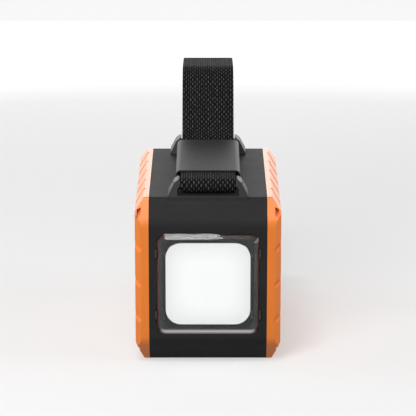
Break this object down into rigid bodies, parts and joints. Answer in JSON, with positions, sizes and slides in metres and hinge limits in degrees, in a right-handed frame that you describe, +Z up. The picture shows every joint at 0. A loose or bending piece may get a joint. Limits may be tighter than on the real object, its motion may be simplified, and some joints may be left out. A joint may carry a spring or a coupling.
{
  "type": "firefighter flashlight",
  "caption": "Box-shaped rechargeable hand lantern with a square lens, rubber side bumpers, strap brackets, webbing grip sleeve and a webbing carry loop.",
  "frame": {"origin": "centre of the base, on the surface the lantern stands on", "axes": "lens faces -Y, controls face +Y, +Z up, +X to the right seen from the lens side's back"},
  "size_m": [0.1, 0.2672, 0.1697],
  "materials": {
    "charcoal_plastic": "fine-textured moulded plastic",
    "hard_black_plastic": "moulded plastic",
    "orange_rubber": "smooth matt elastomer",
    "clear_lens": "clear polycarbonate, polished",
    "red_silicone": "silicone seal",
    "white_diffuser": "opal diffuser, lit",
    "gloss_black": "polished",
    "tray_plastic": "moulded plastic",
    "bracket_plastic": "satin moulded nylon",
    "sleeve_plastic": "satin moulded plastic",
    "webbing": "woven nylon webbing",
    "steel": "zinc plated",
    "black_steel": "black coated steel rod",
    "cast_aluminium": "as machined",
    "circuit_board": "solder mask",
    "white_board": "white solder mask on aluminium",
    "led_chip": "phosphor",
    "cell_wrap": "shrink-wrapped cell",
    "nickel": "nickel plated strip",
    "black_rubber": "seal",
    "lead_red": "silicone insulation",
    "lead_white": "silicone insulation",
    "button_rubber": "matt elastomer",
    "grey_button": "matt elastomer",
    "smoked_window": "tinted polycarbonate"
  },
  "bodies": {
    "lantern": {"main_housing": "charcoal_plastic", "side_plate_left": "hard_black_plastic", "side_plate_right": "hard_black_plastic", "side_gasket_left": "black_rubber", "side_gasket_right": "black_rubber", "side_screws": "steel", "bumper_left": "orange_rubber", "bumper_right": "orange_rubber", "lens_cover": "clear_lens", "lens_seal": "red_silicone", "lens_catches": "gloss_black", "diffuser": "white_diffuser", "diffuser_catches": "gloss_black", "light_box": "tray_plastic", "light_box_screws": "steel", "led_board": "white_board", "led_chips": "led_chip", "heat_sink": "cast_aluminium", "heat_sink_screws": "steel", "battery_cells": "cell_wrap", "cell_holder_left": "hard_black_plastic", "cell_holder_right": "hard_black_plastic", "holder_screws": "steel", "nickel_strips": "nickel", "battery_leads": "lead_red", "led_leads": "lead_white", "control_board": "circuit_board", "board_screws": "steel", "tact_switches": "hard_black_plastic", "level_leds": "led_chip", "charge_socket": "steel", "rear_panel": "hard_black_plastic", "rear_seal": "black_rubber", "rear_screws": "steel", "level_window": "smoked_window", "port_hinge_pin": "steel", "front_bracket": "bracket_plastic", "rear_bracket": "bracket_plastic", "bracket_screws": "steel", "front_bar": "black_steel", "rear_grip_bar": "black_steel", "rear_loop_bar": "black_steel", "grip_strap": "webbing"},
    "hang_loop": {"hang_loop": "webbing"},
    "sleeve": {"strap_sleeve": "sleeve_plastic"},
    "power_button": {"power_button": "button_rubber"},
    "mode_button": {"mode_button": "grey_button"},
    "port_cover": {"port_cover": "grey_button"}
  },
  "joints": [
    {"name": "hang_loop_swing", "type": "hinge", "parent": "lantern", "child": "hang_loop", "pos_m": [0, 0.0655, 0.1224], "axis": [1, 0, 0], "range_deg": [-55, 90]},
    {"name": "sleeve_slide", "type": "slide", "parent": "lantern", "child": "sleeve", "axis": [0, 1, 0], "range_m": [-0.004, 0.003]},
    {"name": "power_button_press", "type": "slide", "parent": "lantern", "child": "power_button", "axis": [0, -1, 0], "range_m": [0, 0.0015], "stiffness_N_per_m": 400, "springref_m": -0.001},
    {"name": "mode_button_press", "type": "slide", "parent": "lantern", "child": "mode_button", "axis": [0, -1, 0], "range_m": [0, 0.0015], "stiffness_N_per_m": 400, "springref_m": -0.001},
    {"name": "port_cover_hinge", "type": "hinge", "parent": "lantern", "child": "port_cover", "pos_m": [0, 0.0821, 0.0286], "axis": [-1, 0, 0], "range_deg": [0, 110]}
  ]
}
